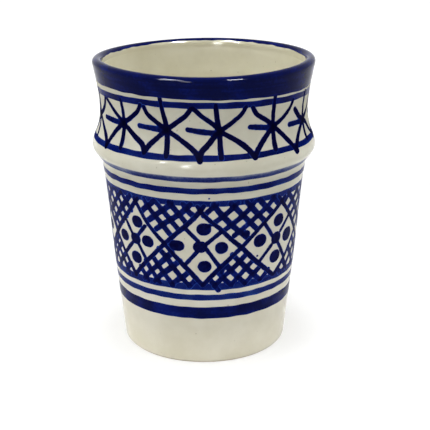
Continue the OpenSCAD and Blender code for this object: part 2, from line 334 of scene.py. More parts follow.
def place(turn, along, lift):
    """Points on the wall at a turn and a length along its section, lifted off its surface."""
    radius = np.interp(along, wall_along, wall[:, 0]) + lift * np.interp(along, wall_along, wall_out[:, 0])
    height = np.interp(along, wall_along, wall[:, 1]) + lift * np.interp(along, wall_along, wall_out[:, 1])
    return stand(turn, radius, height)


along = wall_along[lip_row:]
shown = along[spread_rows(along, *SHOWN_ROWS)]
hidden = along[spread_rows(along, *HIDDEN_ROWS)]
section = np.concatenate((hidden[::-1], shown))
lift = np.concatenate((np.full(len(hidden), -GLAZE_T), np.zeros(len(shown))))
points = place(turns[None], section[:, None], lift[:, None])
points[0, :, :2] = 0
points[-1, :, :2] = 0
faces = round_faces(len(section), COLUMNS, False)
inside_coat = make_piece("inside_coat", points, faces, inside_white, "inside_glaze")
close_poles(inside_coat)

# The rolled edge starts just off the table and bends back into the wall.
EDGE_LOW = 0.12
EDGE_ROLL = 1.3
EDGE_ROWS = 6
OFF_CLAY = 0.001


def roll_back(along):
    """How far the glaze's rolled edge lies behind the wall's surface."""
    height = np.interp(along, wall_along[:lip_row], wall[:lip_row, 1])
    return EDGE_ROLL * (1 - np.sqrt(1 - np.clip(1 - height / EDGE_ROLL, 0, 1) ** 2))


rolled = along_at(np.linspace(EDGE_LOW, EDGE_ROLL, EDGE_ROWS))[:-1]
along = wall_along[:lip_row + 1][wall[:lip_row + 1, 1] > EDGE_ROLL]
shown = np.append(rolled, along[spread_rows(along, *SHOWN_ROWS)])
hidden = np.append(rolled, along[spread_rows(along, *HIDDEN_ROWS)])
section = np.concatenate((shown, hidden[::-1]))
lift = np.concatenate((-roll_back(shown), -np.maximum(roll_back(hidden), GLAZE_T)[::-1] - OFF_CLAY))
points = place(turns[None], section[:, None], lift[:, None])
faces = round_faces(len(section), COLUMNS, True)
make_piece("outside_coat", points, faces, outside_white, "outside_glaze")

# Blue bands
# Cobalt oxide in water, brushed on while the mug turns on the wheel, and melted into the glaze.
# The lip's band is laid on in several turns of the brush; the lattice's two borders are a single thin wash.


def cobalt_glaze(name, roughness, shine, *stops):
    """Cobalt in glaze: from a clear blue where it is thin to near black where strokes overlap, with flecks
    and the glaze's orange peel. The flecks are coarser than real ones, so that they show. Shine is how
    strongly it mirrors. The stops are depths of ink and the colours there."""
    material = new_material(name)
    tree = material.node_tree
    spot = add(tree, "ShaderNodeTexCoord", {}).outputs["Object"]
    ink = add(tree, "ShaderNodeAttribute", {}, attribute_name="ink")
    fleck = add(tree, "ShaderNodeTexNoise", {"Vector": spot, "Scale": per(0.9), "Detail": 3.0})
    peel = add(tree, "ShaderNodeTexNoise", {"Vector": spot, "Scale": per(2.6), "Detail": 2.0})
    uneven = add(tree, "ShaderNodeMapRange", {"Value": fleck.outputs["Fac"], "To Min": -0.12, "To Max": 0.12})
    depth = add(tree, "ShaderNodeMath", {0: ink.outputs["Fac"], 1: uneven.outputs["Result"]}, operation="ADD")
    blue = add(tree, "ShaderNodeValToRGB", {"Fac": depth.outputs[0]}, stops)
    skin = add(tree, "ShaderNodeBump", {
        "Height": peel.outputs["Fac"], "Strength": 0.12, "Distance": 0.1 * MM})
    gloss = add(tree, "ShaderNodeMapRange", {
        "Value": fleck.outputs["Fac"], "To Min": roughness, "To Max": 1.5 * roughness})
    shader = add(tree, "ShaderNodeBsdfPrincipled", {
        "Base Color": blue.outputs["Color"], "Roughness": gloss.outputs["Result"],
        "Normal": skin.outputs["Normal"], "IOR": 1.5, "Specular IOR Level": shine})
    add(tree, "ShaderNodeOutputMaterial", {"Surface": shader.outputs["BSDF"]})
    return material


BAND_BLUES = ((0.0, "#3457A6"), (0.15, "#22418E"), (0.32, "#102468"), (0.45, "#02125E"), (0.6, "#000840"),
              (1.0, "#000020"))
# Greyer blues for the upper neck line, which lies in the neck under the ridge: painted shade.
NECK_SHADE_BLUES = ((0.0, "#9C9FA8"), (0.2, "#626B8A"), (0.35, "#2C3870"), (0.5, "#0C1A58"), (1.0, "#000020"))
band_blue = cobalt_glaze("thin_cobalt_glaze", 0.2, 0.03, *BAND_BLUES)
frieze_blue = cobalt_glaze("matt_cobalt_glaze", 0.5, 0.005, *BAND_BLUES)
lip_blue = cobalt_glaze("glossy_cobalt_glaze", 0.06, 0.042, *BAND_BLUES)
neck_shade_blue = cobalt_glaze("cobalt_glaze_in_neck_shade", 0.2, 0.02, *NECK_SHADE_BLUES)

WAVES = 16
MEAN_R = 35


def ripple(turn, height, size, seed, stretch=1):
    """Smooth random waves of about size mm, between about -1 and 1, that close up round the mug.
    Stretch draws them out along the turn, as a brush does."""
    rng = np.random.default_rng(seed)
    total = 0
    for _ in range(WAVES):
        bearing = rng.uniform(0, 2 * np.pi)
        pitch = size * rng.uniform(0.7, 1.6)
        waves_round = np.round(2 * np.pi * MEAN_R * np.cos(bearing) / pitch / stretch)
        climb = 2 * np.pi * np.sin(bearing) / pitch
        total = total + np.sin(np.radians(turn) * waves_round + climb * height + rng.uniform(0, 2 * np.pi))
    return total / math.sqrt(WAVES)


def set_ink(piece, ink):
    """Stores how much cobalt lies at each point, from a thin wash at 0.3 to an overlap of strokes at 1."""
    attribute = piece.data.attributes.new("ink", "FLOAT", "POINT")
    attribute.data.foreach_set("value", np.clip(ink, 0.02, 1).astype(np.float32).ravel())


# A band is a thin skin that is sunk into the glaze and stands just proud of it, paler along its edges.
BAND_COLUMNS = 720
BAND_ROWS = 6
BAND_STEP = 0.4
BAND_LIFT = 0.02
SUNK = 0.03
PALE_EDGE_W = 0.2
PALE_EDGE = 0.2
band_turns = np.arange(BAND_COLUMNS) * 360 / BAND_COLUMNS - 180
band_sin = np.sin(np.radians(band_turns))
band_cos = np.cos(np.radians(band_turns))


def band(name, low, high, ink, blue, node, seed, step=BAND_STEP, fade=0, lift=BAND_LIFT):
    """A brushed band between two edges, given as lengths along the wall at each turn of band_turns.
    Its ink fades towards the high edge."""
    width = (high - low).mean()
    rows = max(BAND_ROWS, round(float(width) / step))
    across = np.linspace(0, 1, rows)[:, None]
    along = low + (high - low) * across
    both = np.concatenate((along, along[::-1]))
    lifts = np.concatenate((np.full(along.shape, lift), np.full(along.shape, -SUNK)))
    points = place(band_turns[None], both, lifts)
    piece = make_piece(name, points, round_faces(2 * rows, BAND_COLUMNS, True), blue, node)
    streak = 0.035 * ripple(band_turns[None], along, 1.1, seed, 30)
    cloud = 0.05 * ripple(band_turns[None], along, 9, seed + 1)
    pale = PALE_EDGE * np.exp(-np.minimum(across, 1 - across) * width / PALE_EDGE_W)
    laid = ink + (streak + cloud) - pale - fade * across
    set_ink(piece, np.concatenate((laid, laid[::-1])))


LINE_WOBBLE = 0.09
LINE_WAVE = 7


def line(name, node, low, high, ink, seed, rise=0, drop=0, worn=0, fade=0,
         blue=band_blue, slot="cobalt_blue"):
    """A thin band between two heights, with its rise to the right and its drop towards the back.
    Worn is how much of the ink has gone, at each turn."""
    lean = rise * band_sin - drop * (1 - band_cos)
    low_edge = along_at(low + lean) + LINE_WOBBLE * ripple(band_turns, 0, LINE_WAVE, 40 + seed)
    high_edge = along_at(high + lean) + LINE_WOBBLE * ripple(band_turns, 0, LINE_WAVE, 41 + seed)
    band(name, low_edge, high_edge, ink - worn, blue, node, 100 + seed, fade=fade)


def worn_patch(turn, reach, ink):
    """Ink that is missing round a turn, or laid on twice there if it is below nought."""
    return ink * np.exp(-((band_turns - turn) / reach) ** 2)


line("line_above_stars", "frieze_top_line", 91.0, 93.2, 0.51, 0, rise=-0.2, drop=0.95)
line("line_below_stars", "frieze_bottom_line", 74.3, 76.2, 0.45, 2, rise=0.2,
     worn=worn_patch(32, 18, -0.14), blue=frieze_blue)
# The upper neck line is drawn in the greyer blues of painted shade, and fainter towards the sides.
line("upper_neck_line", "neck_line_upper", 66.9, 69.1, 0.52, 4, drop=-0.5,
     worn=0.2 * band_sin ** 2, fade=0.22, blue=neck_shade_blue)
line("lower_neck_line", "neck_line_lower", 62.75, 64.8, 0.46, 6)
line("wash_above_lattice", "lattice_top_line", 58.3, 60.4, 0.41, 8, rise=-0.2, slot="cobalt_wash")
line("wash_below_lattice", "lattice_bottom_line", 28.2, 30.8, 0.4, 10, rise=-0.12, slot="cobalt_wash")
line("line_above_base", "base_line", 24.35, 26.55, 0.38, 12)
line("base_stripe", "base_band", 17.45, 21.8, 0.57, 14, rise=-0.05, worn=worn_patch(-26, 6, 0.16))

# The lip's band drops to the right and the back, and laps over the lip less far at the back than in front.
LIP_BAND_LOW = 94.05
LIP_BAND_RISE = -0.7
LIP_BAND_DROP = 0.35
LIP_BAND_INSIDE = 2.15
LIP_BAND_NARROW = 0.65
LIP_BAND_STEP = 0.3
LIP_BAND_LIFT = 0.04
low = along_at(LIP_BAND_LOW) + 0.12 * ripple(band_turns, 0, 9, 60)
low = low + LIP_BAND_RISE * band_sin - LIP_BAND_DROP * (1 - band_cos)
inner = lip_along + LIP_BAND_INSIDE - LIP_BAND_NARROW * np.maximum(0, -band_cos) ** 2
inner = inner + 0.14 * ripple(band_turns, 0, 6, 61)
band("lip_band", low, inner, 0.6, lip_blue, "rim_band", 120,
     step=LIP_BAND_STEP, lift=LIP_BAND_LIFT)

# Stars
# Thirteen stars in cobalt, brushed free-hand between the frieze's two lines and melted into the glaze.
# Each has two slanting strokes, an upright and a stub at its left. The slanting strokes of neighbours meet
# in dark points on the lower line, where the brush stops.
BRUSH_BLUES = ((0.0, "#3A5CB0"), (0.15, "#1B3A94"), (0.3, "#0A1A66"), (0.45, "#020B47"), (0.6, "#000132"),
               (1.0, "#00001C"))
star_blue = cobalt_glaze("matt_thick_cobalt_glaze", 0.5, 0.005, *BRUSH_BLUES)


class Brushwork:
    """Paint on a strip round the mug, held on a fine grid of turns and heights."""
    # How strokes run together where they meet, and the ink that an overlap adds
    BLEED = 0.3
    OVERLAP = 0.25
    # Width of a stroke's paler edge and its ink there, and how far off a stroke its paint is worked out
    EDGE_W = 0.5
    EDGE_INK = 0.3
    MARGIN = 0.6
    # How far an edge strays
    RAGGED = 0.03

    def __init__(self, low, high, cell=0.25):
        radius = float(np.interp((low + high) / 2, wall[:lip_row, 1], wall[:lip_row, 0]))
        self.cell = cell
        self.per_degree = math.radians(1) * radius
        self.columns = round(360 * self.per_degree / cell)
        self.step = 360 / self.columns
        self.turn = np.arange(self.columns) * 360 / self.columns - 180
        self.height = np.arange(low, high + cell, cell)
        self.depth = np.full((len(self.height), self.columns), -2.0)
        self.ink = np.zeros(self.depth.shape)

    def lay(self, path, half, ink):
        """Lays paint on all points closer to a path of (turn, height) than half a stroke's width."""
        reach = float(np.max(half)) + self.MARGIN
        first = math.floor((path[:, 0].min() - reach / self.per_degree + 180) / self.step)
        last = math.ceil((path[:, 0].max() + reach / self.per_degree + 180) / self.step)
        near = np.arange(first, last + 1)
        above = self.height > path[:, 1].min() - reach
        rows = np.flatnonzero(above & (self.height < path[:, 1].max() + reach))
        dx = ((near * self.step - 180)[None, :, None] - path[:, 0]) * self.per_degree
        dy = self.height[rows][:, None, None] - path[:, 1]
        depth = (half - np.hypot(dx, dy)).max(axis=2)
        window = np.ix_(rows, near % self.columns)
        old = self.depth[window]
        share = np.clip(0.5 + 0.5 * (depth - old) / self.BLEED, 0, 1)
        self.depth[window] = old + (depth - old) * share + self.BLEED * share * (1 - share) * 0.5
        under = self.ink[window]
        over = ink * np.clip(depth / self.EDGE_W + self.EDGE_INK, 0, 1)
        self.ink[window] = np.maximum(under, over) + self.OVERLAP * np.minimum(under, over)

    def stroke(self, points, first_width, last_width, ink=0.5):
        """A stroke of the brush through points (turn, height), whose width changes steadily along it."""
        points = np.array(points, float)
        scale = np.array([self.per_degree, 1])
        path = smooth_line(points * scale, self.cell) / scale
        t = np.linspace(0, 1, len(path))
        pressure = 1 + 0.05 * np.sin(7 * t + points[0, 0])
        half = (first_width + (last_width - first_width) * t) / 2 * pressure
        self.lay(path, half, ink)

    def dab(self, turn, height, wide, tall, ink=0.54):
        """A round dot, wide by tall."""
        spread = (wide - tall) / 2 / self.per_degree
        across = np.linspace(-spread, spread, 9) if wide > tall else np.zeros(1)
        path = np.column_stack((turn + across, np.full(len(across), height)))
        self.lay(path, np.full(len(path), min(wide, tall) / 2), ink)

    def film(self, name, lift, blue, node, seed):
        """Makes the paint a thin closed skin that lies on the glaze, cut where its depth is nought."""
        turn, height = np.meshgrid(self.turn, self.height)
        depth = self.depth + self.RAGGED * ripple(turn, height, 1.3, seed)
        depth = depth + self.RAGGED * ripple(turn, height, 3.5, seed + 1)
        ink = self.ink + 0.04 * ripple(turn, height, 1.6, seed + 2)
        ink = ink + 0.05 * ripple(turn, height, 6, seed + 3)
        depth, ink, turn, height = (grid.ravel() for grid in (depth, ink, turn, height))

        # A point may lie on a corner of the grid, on the edge to its right or on the edge above it.
        shape = self.depth.shape
        count = shape[0] * shape[1]
        corner = np.arange(count).reshape(shape)
        right = np.roll(corner, -1, axis=1)
        above = np.roll(corner, -1, axis=0)
        start = np.tile(corner.ravel(), 3)
        end = np.concatenate([grid.ravel() for grid in (corner, right, above)])
        kind = np.repeat(np.arange(3), count)
        fall = np.where(depth[start] == depth[end], 1, depth[start] - depth[end])
        share = np.where(depth[start] * depth[end] < 0, depth[start] / fall, 0)
        share = np.clip(share, 0.04, 0.96) * (kind > 0)
        at_turn = turn[start] + share * self.step * (kind == 1)
        at_height = height[start] + share * self.cell * (kind == 2)
        at_ink = ink[start] * (1 - share) + ink[end] * share

        # Each cell of the grid has one of 15 outlines, by which of its four corners are painted.
        on_flat = corner + count
        on_rise = corner + 2 * count
        corners_round = [corner[:-1], right[:-1], right[1:], corner[1:]]
        edges_round = [on_flat[:-1], np.roll(on_rise, -1, axis=1)[:-1], on_flat[1:], on_rise[:-1]]
        code = sum((depth[c] > 0) * 2 ** k for k, c in enumerate(corners_round))
        tops, rims = [], []
        for case in range(1, 16):
            painted = [case >> k & 1 for k in range(4)]
            outline = []
            for k in range(4):
                if painted[k]:
                    outline.append((corners_round[k], False))
                if painted[k] != painted[(k + 1) % 4]:
                    outline.append((edges_round[k], True))
            cells = code == case
            tops += np.stack([ids[cells] for ids, _ in outline], -1).tolist()
            for (a, a_cut), (b, b_cut) in zip(outline, outline[1:] + outline[:1]):
                if a_cut and b_cut:
                    rims.append(np.stack((a[cells], b[cells]), -1))

        # The skin's top, its underside and the thin wall between them take only the points in use.
        used = np.unique(np.concatenate([np.array(top) for top in tops]))
        new = np.full(3 * count, -1)
        new[used] = np.arange(len(used))
        tops = [[int(new[v]) for v in top] for top in tops]
        floor = len(used)
        rims = new[np.concatenate(rims)]
        walls = np.stack((rims[:, 1], rims[:, 0], rims[:, 0] + floor, rims[:, 1] + floor), -1).tolist()
        faces = tops + [[v + floor for v in reversed(top)] for top in tops] + walls
        along = along_at(at_height[used])
        points = np.concatenate((place(at_turn[used], along, lift), place(at_turn[used], along, -SUNK)))
        piece = make_piece(name, points, faces, blue, node)
        set_ink(piece, np.tile(at_ink[used], 2))


def shaky(rng, turn, height, turn_slack, height_slack):
    """A point set by an unsteady hand."""
    return turn + rng.uniform(-turn_slack, turn_slack), height + rng.uniform(-height_slack, height_slack)


STAR_COUNT = 13
STAR_Z = 83.6
STAR_TOP_W = 1.55
STAR_LOW_W = 1.95
STAR_INK = 0.66
STUB_TIP_W = 1.75
STUB_W = 2.05
STUB_INK = 0.45
# Each star at the front: its falling, rising and upright strokes and its stub
FRONT_STARS = [
    [[(-87.5, 90), (-75, 83.9), (-69, 81), (-64.5, 78.9), (-60.5, 76.9), (-58.1, 74.8)],
     [(-63.2, 90.4), (-64.4, 88.6), (-66.5, 86.8), (-69.5, 85.2), (-75, 83.2), (-87, 76)],
     [(-76, 92), (-75, 84), (-75, 76)], [(-90, 83.8), (-76, 83.4)]],
    [[(-60.7, 90.2), (-54.9, 87.4), (-46, 83.9), (-36.9, 80.1), (-31.9, 78), (-30.2, 76.1)],
     [(-33.2, 91.2), (-34.6, 89.4), (-39.9, 86.3), (-46, 83.8), (-52.4, 80.4), (-56.7, 76.9), (-58.1, 74.8)],
     [(-46.9, 91.6), (-46.2, 88.5), (-45.7, 84), (-45.7, 79), (-46.1, 75.8)],
     [(-64.2, 83.7), (-46.5, 83.5)]],
    [[(-31.2, 90.6), (-29.9, 88.8), (-23.4, 85.6), (-18.6, 83.7), (-10.3, 80.4), (-6.6, 78.7), (-3.2, 76.7),
      (-1.3, 74.6)],
     [(-5.9, 91.2), (-7.7, 89.3), (-13.5, 86.2), (-18.6, 83.7), (-24.8, 80.2), (-28, 78.2), (-30.3, 76)],
     [(-21.5, 94.2), (-20.8, 90.7), (-19, 85.3), (-18.3, 81.7), (-18.1, 75.5)], [(-34.6, 84), (-19, 83.5)]],
    [[(-4.9, 91.4), (-1.8, 89.3), (5.7, 85.6), (8.7, 83.7), (17.5, 80.2), (22.3, 77.8), (26, 74.8)],
     [(21.9, 91.2), (20.2, 89.3), (14.3, 86), (8.7, 83.6), (2, 79), (-0.7, 77), (-1.4, 74.8)],
     [(6.3, 92.3), (6.8, 89.3), (8.5, 82.5), (8.7, 78), (8.9, 75.4)],
     [(-7.6, 84.1), (-1, 83.5), (8.4, 82.9)]],
    [[(25.6, 90.8), (27.4, 88.9), (34.9, 85.5), (38.9, 83.5), (46.9, 79), (50.4, 76.7), (53.4, 73.8)],
     [(53.3, 90.8), (51.8, 88.9), (45.8, 85.6), (38.9, 83.3), (32, 79.5), (28.6, 77.1), (26.1, 74.9)],
     [(38.5, 93.5), (38.5, 88.9), (38.7, 76.2)], [(24.6, 84.3), (38.9, 83)]],
    [[(56, 87.3), (59, 85.3), (66.4, 82.6), (71.6, 81), (75, 78.9), (82, 75.2)],
     [(80.5, 90.5), (75, 85.5), (66.4, 82.2), (59, 78.5), (54.4, 75.2)],
     [(66.6, 92), (66.7, 85.3), (67.6, 78.1), (68, 76)], [(51.2, 82.7), (66.4, 82.2)]],
]
stars = Brushwork(71, 97)


def star(falling, rising, upright, stub):
    """The four strokes of a star, each broader towards its end."""
    for slant in (falling, rising, upright):
        stars.stroke(slant, STAR_TOP_W, STAR_LOW_W, STAR_INK)
    stars.stroke(stub, STUB_TIP_W, STUB_W, STUB_INK)


for strokes in FRONT_STARS:
    star(*strokes)
# The last star's falling stroke starts thick, and two points on the lower line are blotted.
stars.stroke([(56, 87.3), (61, 84.4)], 1.9, 2.1)
stars.dab(53.5, 74, 2.6, 2)
stars.dab(-58.1, 75, 1.9, 1.8)

# The stars at the back fill the turn from the last one at the front to the first.
LAST_STAR = 67.6
FIRST_STAR = 285
rng = np.random.default_rng(5)
back = np.linspace(LAST_STAR, FIRST_STAR, STAR_COUNT - len(FRONT_STARS) + 2)[1:-1]
half_gap = (back[1] - back[0]) / 2


def beside(centre, side, height):
    """A point beside a star's middle, by a share of half the gap between stars."""
    return shaky(rng, centre[0] + side * half_gap, height, 0.5, 0.4)


for middle in back:
    centre = shaky(rng, middle, STAR_Z, 0.8, 0.5)
    star([beside(centre, -0.97, 91), beside(centre, -0.55, 86.9), centre, beside(centre, 0.6, 79.2),
          (middle + half_gap, 75)],
         [beside(centre, 0.95, 91), beside(centre, 0.5, 87), centre, beside(centre, -0.6, 79.2),
          (middle - half_gap, 75)],
         [beside(centre, -0.1, 92.5), centre, beside(centre, 0, 75.6)],
         [beside(centre, -1.1, 83.9), beside(centre, -0.3, 83.3), centre])
stars.film("brushed_stars", 0.03, star_blue, "frieze_stars", 200)

# Lattice
# Eight diamonds corner to corner, whose long strokes cross at the corners and run on into the borders.
# They are brushed in cobalt. Each has a cross with a blot in its middle, and a round dot in each quarter.
DIAMOND_COUNT = 8
FRAME_W = 1.75
CROSS_W = 1.5
BORDER_TOP = 58.9
BORDER_LOW = 30.0
lattice_blue = cobalt_glaze("thick_cobalt_glaze", 0.3, 0.015, *BRUSH_BLUES)
# The four corners at the front, at which neighbouring diamonds touch
FRONT_CORNERS = [(-63.2, 43.3), (-22.7, 44.3), (22.3, 43), (70.2, 43.2)]
# The three diamonds between them: top, foot, blot, dots, and the cross's arms from their outer ends
FRONT_DIAMONDS = [
    dict(top=(-41, 57.4), foot=(-46, 30.9), blot=(-43.4, 43.9, 4.8, 4.1),
         dots=[(-41, 50.3, 4.8, 4.3), (-53.9, 43.6, 4.9, 4), (-34.1, 44, 4.9, 4.2), (-44, 37, 5.1, 4.4)],
         cross=[(-50.7, 49.7), (-46.2, 45.6), (-36.2, 37.4), (-41, 42),
                (-35.2, 49.4), (-40.6, 45.8), (-53.9, 37.5), (-46.5, 41.9)]),
    dict(top=(-1.2, 57), foot=(-0.3, 30.9), blot=(-1.8, 44.1, 4.9, 4.2),
         dots=[(0.3, 50.4, 4.9, 4.4), (-15.4, 44.2, 5.4, 3.8), (10.4, 43.6, 4.5, 4.4), (0.7, 37, 4.7, 4.3)],
         cross=[(-10, 50.5), (-3, 46.2), (9.3, 36.8), (2, 43.1),
                (9.8, 49.2), (1.8, 45.2), (-10.3, 37.7), (-3.9, 42.1)]),
    dict(top=(49, 56.5), foot=(47.5, 30.4), blot=(47.2, 43.6, 4.9, 4.4),
         dots=[(48.3, 49.9, 5.1, 4.5), (34.5, 44.3, 5.3, 4.7), (58.6, 43.2, 5.8, 5), (47.5, 36.8, 5.4, 4.7)],
         cross=[(37.3, 49.9), (43.7, 44.8), (57.6, 34.6), (48, 42.6),
                (58.2, 50), (51, 45.7), (35, 36.8), (44, 41.7)]),
]
# The strokes in view that leave a corner at the front: up left, down right, up right, down left
FRONT_ARMS = [
    [None, [(-59.7, 41), (-56.2, 38), (-52.1, 35), (-45.8, 30.2)],
     [(-39, 58.8), (-42.2, 56.6), (-46.5, 53.5), (-50.6, 51), (-59, 46)], None],
    [[(-41.8, 58.6), (-38.3, 55.3), (-34.3, 51.5), (-29.1, 48)], [(-18.6, 41.6), (-8.1, 35.1), (-0.7, 30.2)],
     [(0.3, 58.6), (-1.2, 57.2), (-5.1, 54.3), (-10.1, 51.3), (-15.8, 48.2)],
     [(-31.5, 39.1), (-40.5, 33.8), (-46.5, 30)]],
    [[(-3, 58.5), (-0.5, 56.1), (3.7, 53.4), (9.4, 50.4), (15.4, 46.7)],
     [(30.7, 38), (36.2, 35.1), (42.1, 32.3), (46.8, 30)],
     [(52, 57.8), (43.1, 53.5), (37.5, 51), (27.1, 45.6)],
     [(17.4, 40.5), (11.8, 37.5), (3.9, 32.9), (0, 30.3)]],
    [[(46.5, 58.6), (49.5, 56.5), (57, 52), (65.3, 46.6)], None,
     None, [(63.1, 38.5), (58.2, 35.3), (54.6, 33.3), (48.2, 30)]],
]

# The diamonds at the back fill the turn from the last corner at the front to the first.
DOTS_AT = ((0, 50.3), (-0.27, 43.8), (0.25, 43.8), (0, 37.1))
CROSS_AT = ((-0.24, 50), (-0.05, 45.3), (0.24, 37.2), (0.05, 42.6),
            (0.23, 49.8), (0.05, 45.3), (-0.25, 37.4), (-0.05, 42.6))
rng = np.random.default_rng(9)
corners_at = list(FRONT_CORNERS)
diamonds = list(FRONT_DIAMONDS)
back_count = DIAMOND_COUNT - len(FRONT_DIAMONDS)
spacing = (FRONT_CORNERS[0][0] + 360 - FRONT_CORNERS[-1][0]) / back_count


def about(middle, side, height):
    """A point beside a diamond's middle, by a share of the diamonds' spacing."""
    return shaky(rng, middle + side * spacing, height, 0.7, 0.4)


for k in range(back_count):
    middle = FRONT_CORNERS[-1][0] + spacing * (k + 0.5)
    dots = [about(middle, *p) + (rng.uniform(4.6, 5.4), rng.uniform(4, 4.6)) for p in DOTS_AT]
    cross = [about(middle, *p) for p in CROSS_AT]
    top = about(middle, 0, 57)
    foot = about(middle, 0, 30.9)
    blot = about(middle, 0, 43.9) + (4.8, 4.1)
    diamonds.append(dict(top=top, foot=foot, blot=blot, dots=dots, cross=cross))
    corners_at.append(about(middle, 0.5, 43.5))


def carry_on(start, end, height):
    """The point at a height on the line from start through end."""
    share = (height - start[1]) / (end[1] - start[1])
    return start[0] + share * (end[0] - start[0]), height


frame_paint = Brushwork(25, 62)
dot_paint = Brushwork(25, 62)
panels = []
for k, right in enumerate(diamonds):
    left = diamonds[k - 1]
    corner = corners_at[k]
    wrap = -360 if k == 0 else 0
    arms = FRONT_ARMS[k] if k < len(FRONT_ARMS) else [None] * 4
    ends = [(left["top"], wrap), (right["foot"], 0), (right["top"], 0), (left["foot"], wrap)]
    up_left, down_right, up_right, down_left = [
        arm or [carry_on(corner, (end[0] + turn, end[1]), BORDER_TOP if end[1] > corner[1] else BORDER_LOW)]
        for arm, (end, turn) in zip(arms, ends)]
    frame_paint.stroke(up_left + [corner] + down_right, FRAME_W * 0.92, FRAME_W * 1.08)
    frame_paint.stroke(up_right + [corner] + down_left, FRAME_W, FRAME_W)
    panels.append((corner, BORDER_TOP, up_left[0][0], up_right[0][0]))
    panels.append((corner, BORDER_LOW, down_left[-1][0], down_right[-1][0]))
    for end, start in zip(right["cross"][0::2], right["cross"][1::2]):
        frame_paint.stroke([start, end], CROSS_W, CROSS_W)
    frame_paint.dab(*right["blot"], 0.52)
    for dot in right["dots"]:
        dot_paint.dab(*dot)
# Two dots at the front are smeared.
dot_paint.dab(3.2, 51.7, 2, 1.3)
dot_paint.stroke([(-20.3, 44.3), (-16, 44.2)], 1, 1.8, 0.3)
frame_paint.film("brushed_diamonds", 0.04, lattice_blue, "diamond_frames", 300)
dot_paint.film("brushed_dots", 0.05, lattice_blue, "diamond_dots", 320)

# Hatching
# Two sets of slanting strokes in cobalt fill each triangle between the diamonds and their borders.
# They are brushed quickly, so that they run into the frames and over the borders, and blot here and there.
HATCH_W = 2.06
HATCH_LINES = 4
HATCH_INK = 0.42
PAST_BORDER = 0.4
